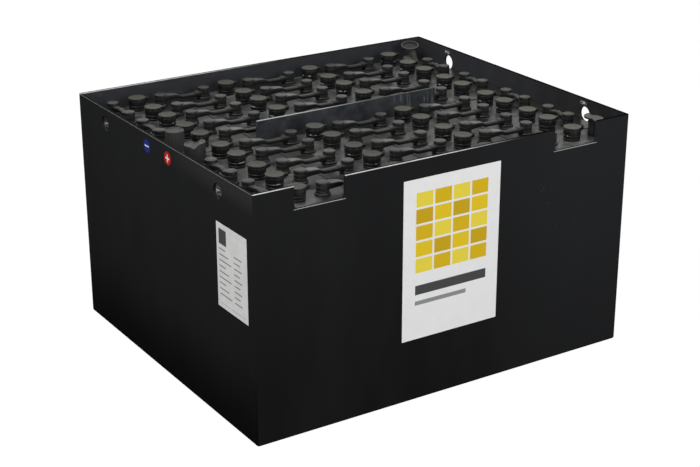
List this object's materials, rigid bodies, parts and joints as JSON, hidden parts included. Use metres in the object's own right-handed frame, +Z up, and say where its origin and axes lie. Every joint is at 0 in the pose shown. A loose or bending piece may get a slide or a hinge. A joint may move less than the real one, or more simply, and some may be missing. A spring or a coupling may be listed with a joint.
{
  "type": "forklift traction battery",
  "caption": "Steel tray of rectangular lead-acid traction cells with flip-top vent plugs, insulated cell links, a middle partition, cable notches and lifting holes.",
  "frame": {"origin": "middle of the tray's underside", "axes": "+X along the long front wall towards its right end, +Y from the front wall to the rear wall, +Z up"},
  "size_m": [0.8103, 0.6853, 0.4632],
  "materials": {
    "tray_coat": "satin",
    "partition_coat": "satin",
    "cell_plastic": "semi-gloss",
    "plug_plastic": "satin",
    "lid_plastic": "matte",
    "link_moulding": "matte",
    "hood_rubber": "matte",
    "post_moulding": "matte",
    "label_vinyl": "semi-gloss",
    "red_vinyl": "semi-gloss",
    "blue_vinyl": "semi-gloss"
  },
  "bodies": {
    "battery": {"tray": "tray_coat", "partition_plate": "partition_coat", "cells_of_positive_half": "cell_plastic", "cells_of_negative_half": "cell_plastic", "vent_plugs": "plug_plastic", "row_links": "link_moulding", "right_end_links": "link_moulding", "left_end_links": "link_moulding", "positive_terminal_hood": "hood_rubber", "negative_terminal_hood": "hood_rubber", "front_link_post": "post_moulding", "rear_link_post": "post_moulding", "front_label": "label_vinyl", "data_label": "label_vinyl", "positive_disc": "red_vinyl", "negative_disc": "blue_vinyl"},
    "lid_row01_column1": {"vent_lid_row01_column1": "lid_plastic"},
    "lid_row01_column2": {"vent_lid_row01_column2": "lid_plastic"},
    "lid_row01_column3": {"vent_lid_row01_column3": "lid_plastic"},
    "lid_row01_column4": {"vent_lid_row01_column4": "lid_plastic"},
    "lid_row02_column1": {"vent_lid_row02_column1": "lid_plastic"},
    "lid_row02_column2": {"vent_lid_row02_column2": "lid_plastic"},
    "lid_row02_column3": {"vent_lid_row02_column3": "lid_plastic"},
    "lid_row02_column4": {"vent_lid_row02_column4": "lid_plastic"},
    "lid_row03_column1": {"vent_lid_row03_column1": "lid_plastic"},
    "lid_row03_column2": {"vent_lid_row03_column2": "lid_plastic"},
    "lid_row03_column3": {"vent_lid_row03_column3": "lid_plastic"},
    "lid_row03_column4": {"vent_lid_row03_column4": "lid_plastic"},
    "lid_row04_column1": {"vent_lid_row04_column1": "lid_plastic"},
    "lid_row04_column2": {"vent_lid_row04_column2": "lid_plastic"},
    "lid_row04_column3": {"vent_lid_row04_column3": "lid_plastic"},
    "lid_row04_column4": {"vent_lid_row04_column4": "lid_plastic"},
    "lid_row05_column1": {"vent_lid_row05_column1": "lid_plastic"},
    "lid_row05_column2": {"vent_lid_row05_column2": "lid_plastic"},
    "lid_row05_column3": {"vent_lid_row05_column3": "lid_plastic"},
    "lid_row05_column4": {"vent_lid_row05_column4": "lid_plastic"},
    "lid_row06_column1": {"vent_lid_row06_column1": "lid_plastic"},
    "lid_row06_column2": {"vent_lid_row06_column2": "lid_plastic"},
    "lid_row06_column3": {"vent_lid_row06_column3": "lid_plastic"},
    "lid_row06_column4": {"vent_lid_row06_column4": "lid_plastic"},
    "lid_row07_column1": {"vent_lid_row07_column1": "lid_plastic"},
    "lid_row07_column2": {"vent_lid_row07_column2": "lid_plastic"},
    "lid_row07_column3": {"vent_lid_row07_column3": "lid_plastic"},
    "lid_row07_column4": {"vent_lid_row07_column4": "lid_plastic"},
    "lid_row08_column1": {"vent_lid_row08_column1": "lid_plastic"},
    "lid_row08_column2": {"vent_lid_row08_column2": "lid_plastic"},
    "lid_row08_column3": {"vent_lid_row08_column3": "lid_plastic"},
    "lid_row08_column4": {"vent_lid_row08_column4": "lid_plastic"},
    "lid_row09_column1": {"vent_lid_row09_column1": "lid_plastic"},
    "lid_row09_column2": {"vent_lid_row09_column2": "lid_plastic"},
    "lid_row09_column3": {"vent_lid_row09_column3": "lid_plastic"},
    "lid_row09_column4": {"vent_lid_row09_column4": "lid_plastic"},
    "lid_row10_column1": {"vent_lid_row10_column1": "lid_plastic"},
    "lid_row10_column2": {"vent_lid_row10_column2": "lid_plastic"},
    "lid_row10_column3": {"vent_lid_row10_column3": "lid_plastic"},
    "lid_row10_column4": {"vent_lid_row10_column4": "lid_plastic"}
  },
  "joints": [
    {"name": "lid_hinge_row01_column1", "type": "hinge", "parent": "battery", "child": "lid_row01_column1", "pos_m": [-0.27265, -0.3044, 0.44235], "axis": [0, 1, 0], "range_deg": [0, 95]},
    {"name": "lid_hinge_row01_column2", "type": "hinge", "parent": "battery", "child": "lid_row01_column2", "pos_m": [-0.07335, -0.3044, 0.44235], "axis": [0, 1, 0], "range_deg": [0, 95]},
    {"name": "lid_hinge_row01_column3", "type": "hinge", "parent": "battery", "child": "lid_row01_column3", "pos_m": [0.12595, -0.3044, 0.44235], "axis": [0, 1, 0], "range_deg": [0, 95]},
    {"name": "lid_hinge_row01_column4", "type": "hinge", "parent": "battery", "child": "lid_row01_column4", "pos_m": [0.32525, -0.3044, 0.44235], "axis": [0, 1, 0], "range_deg": [0, 95]},
    {"name": "lid_hinge_row02_column1", "type": "hinge", "parent": "battery", "child": "lid_row02_column1", "pos_m": [-0.27265, -0.2321, 0.44235], "axis": [0, 1, 0], "range_deg": [0, 95]},
    {"name": "lid_hinge_row02_column2", "type": "hinge", "parent": "battery", "child": "lid_row02_column2", "pos_m": [-0.07335, -0.2321, 0.44235], "axis": [0, 1, 0], "range_deg": [0, 95]},
    {"name": "lid_hinge_row02_column3", "type": "hinge", "parent": "battery", "child": "lid_row02_column3", "pos_m": [0.12595, -0.2321, 0.44235], "axis": [0, 1, 0], "range_deg": [0, 95]},
    {"name": "lid_hinge_row02_column4", "type": "hinge", "parent": "battery", "child": "lid_row02_column4", "pos_m": [0.32525, -0.2321, 0.44235], "axis": [0, 1, 0], "range_deg": [0, 95]},
    {"name": "lid_hinge_row03_column1", "type": "hinge", "parent": "battery", "child": "lid_row03_column1", "pos_m": [-0.27265, -0.1718, 0.44235], "axis": [0, 1, 0], "range_deg": [0, 95]},
    {"name": "lid_hinge_row03_column2", "type": "hinge", "parent": "battery", "child": "lid_row03_column2", "pos_m": [-0.07335, -0.1718, 0.44235], "axis": [0, 1, 0], "range_deg": [0, 95]},
    {"name": "lid_hinge_row03_column3", "type": "hinge", "parent": "battery", "child": "lid_row03_column3", "pos_m": [0.12595, -0.1718, 0.44235], "axis": [0, 1, 0], "range_deg": [0, 95]},
    {"name": "lid_hinge_row03_column4", "type": "hinge", "parent": "battery", "child": "lid_row03_column4", "pos_m": [0.32525, -0.1718, 0.44235], "axis": [0, 1, 0], "range_deg": [0, 95]},
    {"name": "lid_hinge_row04_column1", "type": "hinge", "parent": "battery", "child": "lid_row04_column1", "pos_m": [-0.27265, -0.0995, 0.44235], "axis": [0, 1, 0], "range_deg": [0, 95]},
    {"name": "lid_hinge_row04_column2", "type": "hinge", "parent": "battery", "child": "lid_row04_column2", "pos_m": [-0.07335, -0.0995, 0.44235], "axis": [0, 1, 0], "range_deg": [0, 95]},
    {"name": "lid_hinge_row04_column3", "type": "hinge", "parent": "battery", "child": "lid_row04_column3", "pos_m": [0.12595, -0.0995, 0.44235], "axis": [0, 1, 0], "range_deg": [0, 95]},
    {"name": "lid_hinge_row04_column4", "type": "hinge", "parent": "battery", "child": "lid_row04_column4", "pos_m": [0.32525, -0.0995, 0.44235], "axis": [0, 1, 0], "range_deg": [0, 95]},
    {"name": "lid_hinge_row05_column1", "type": "hinge", "parent": "battery", "child": "lid_row05_column1", "pos_m": [-0.27265, -0.0392, 0.44235], "axis": [0, 1, 0], "range_deg": [0, 95]},
    {"name": "lid_hinge_row05_column2", "type": "hinge", "parent": "battery", "child": "lid_row05_column2", "pos_m": [-0.07335, -0.0392, 0.44235], "axis": [0, 1, 0], "range_deg": [0, 95]},
    {"name": "lid_hinge_row05_column3", "type": "hinge", "parent": "battery", "child": "lid_row05_column3", "pos_m": [0.12595, -0.0392, 0.44235], "axis": [0, 1, 0], "range_deg": [0, 95]},
    {"name": "lid_hinge_row05_column4", "type": "hinge", "parent": "battery", "child": "lid_row05_column4", "pos_m": [0.32525, -0.0392, 0.44235], "axis": [0, 1, 0], "range_deg": [0, 95]},
    {"name": "lid_hinge_row06_column1", "type": "hinge", "parent": "battery", "child": "lid_row06_column1", "pos_m": [-0.27265, 0.0392, 0.44235], "axis": [0, 1, 0], "range_deg": [0, 95]},
    {"name": "lid_hinge_row06_column2", "type": "hinge", "parent": "battery", "child": "lid_row06_column2", "pos_m": [-0.07335, 0.0392, 0.44235], "axis": [0, 1, 0], "range_deg": [0, 95]},
    {"name": "lid_hinge_row06_column3", "type": "hinge", "parent": "battery", "child": "lid_row06_column3", "pos_m": [0.12595, 0.0392, 0.44235], "axis": [0, 1, 0], "range_deg": [0, 95]},
    {"name": "lid_hinge_row06_column4", "type": "hinge", "parent": "battery", "child": "lid_row06_column4", "pos_m": [0.32525, 0.0392, 0.44235], "axis": [0, 1, 0], "range_deg": [0, 95]},
    {"name": "lid_hinge_row07_column1", "type": "hinge", "parent": "battery", "child": "lid_row07_column1", "pos_m": [-0.27265, 0.0995, 0.44235], "axis": [0, 1, 0], "range_deg": [0, 95]},
    {"name": "lid_hinge_row07_column2", "type": "hinge", "parent": "battery", "child": "lid_row07_column2", "pos_m": [-0.07335, 0.0995, 0.44235], "axis": [0, 1, 0], "range_deg": [0, 95]},
    {"name": "lid_hinge_row07_column3", "type": "hinge", "parent": "battery", "child": "lid_row07_column3", "pos_m": [0.12595, 0.0995, 0.44235], "axis": [0, 1, 0], "range_deg": [0, 95]},
    {"name": "lid_hinge_row07_column4", "type": "hinge", "parent": "battery", "child": "lid_row07_column4", "pos_m": [0.32525, 0.0995, 0.44235], "axis": [0, 1, 0], "range_deg": [0, 95]},
    {"name": "lid_hinge_row08_column1", "type": "hinge", "parent": "battery", "child": "lid_row08_column1", "pos_m": [-0.27265, 0.1718, 0.44235], "axis": [0, 1, 0], "range_deg": [0, 95]},
    {"name": "lid_hinge_row08_column2", "type": "hinge", "parent": "battery", "child": "lid_row08_column2", "pos_m": [-0.07335, 0.1718, 0.44235], "axis": [0, 1, 0], "range_deg": [0, 95]},
    {"name": "lid_hinge_row08_column3", "type": "hinge", "parent": "battery", "child": "lid_row08_column3", "pos_m": [0.12595, 0.1718, 0.44235], "axis": [0, 1, 0], "range_deg": [0, 95]},
    {"name": "lid_hinge_row08_column4", "type": "hinge", "parent": "battery", "child": "lid_row08_column4", "pos_m": [0.32525, 0.1718, 0.44235], "axis": [0, 1, 0], "range_deg": [0, 95]},
    {"name": "lid_hinge_row09_column1", "type": "hinge", "parent": "battery", "child": "lid_row09_column1", "pos_m": [-0.27265, 0.2321, 0.44235], "axis": [0, 1, 0], "range_deg": [0, 95]},
    {"name": "lid_hinge_row09_column2", "type": "hinge", "parent": "battery", "child": "lid_row09_column2", "pos_m": [-0.07335, 0.2321, 0.44235], "axis": [0, 1, 0], "range_deg": [0, 95]},
    {"name": "lid_hinge_row09_column3", "type": "hinge", "parent": "battery", "child": "lid_row09_column3", "pos_m": [0.12595, 0.2321, 0.44235], "axis": [0, 1, 0], "range_deg": [0, 95]},
    {"name": "lid_hinge_row09_column4", "type": "hinge", "parent": "battery", "child": "lid_row09_column4", "pos_m": [0.32525, 0.2321, 0.44235], "axis": [0, 1, 0], "range_deg": [0, 95]},
    {"name": "lid_hinge_row10_column1", "type": "hinge", "parent": "battery", "child": "lid_row10_column1", "pos_m": [-0.27265, 0.3044, 0.44235], "axis": [0, 1, 0], "range_deg": [0, 95]},
    {"name": "lid_hinge_row10_column2", "type": "hinge", "parent": "battery", "child": "lid_row10_column2", "pos_m": [-0.07335, 0.3044, 0.44235], "axis": [0, 1, 0], "range_deg": [0, 95]},
    {"name": "lid_hinge_row10_column3", "type": "hinge", "parent": "battery", "child": "lid_row10_column3", "pos_m": [0.12595, 0.3044, 0.44235], "axis": [0, 1, 0], "range_deg": [0, 95]},
    {"name": "lid_hinge_row10_column4", "type": "hinge", "parent": "battery", "child": "lid_row10_column4", "pos_m": [0.32525, 0.3044, 0.44235], "axis": [0, 1, 0], "range_deg": [0, 95]}
  ]
}
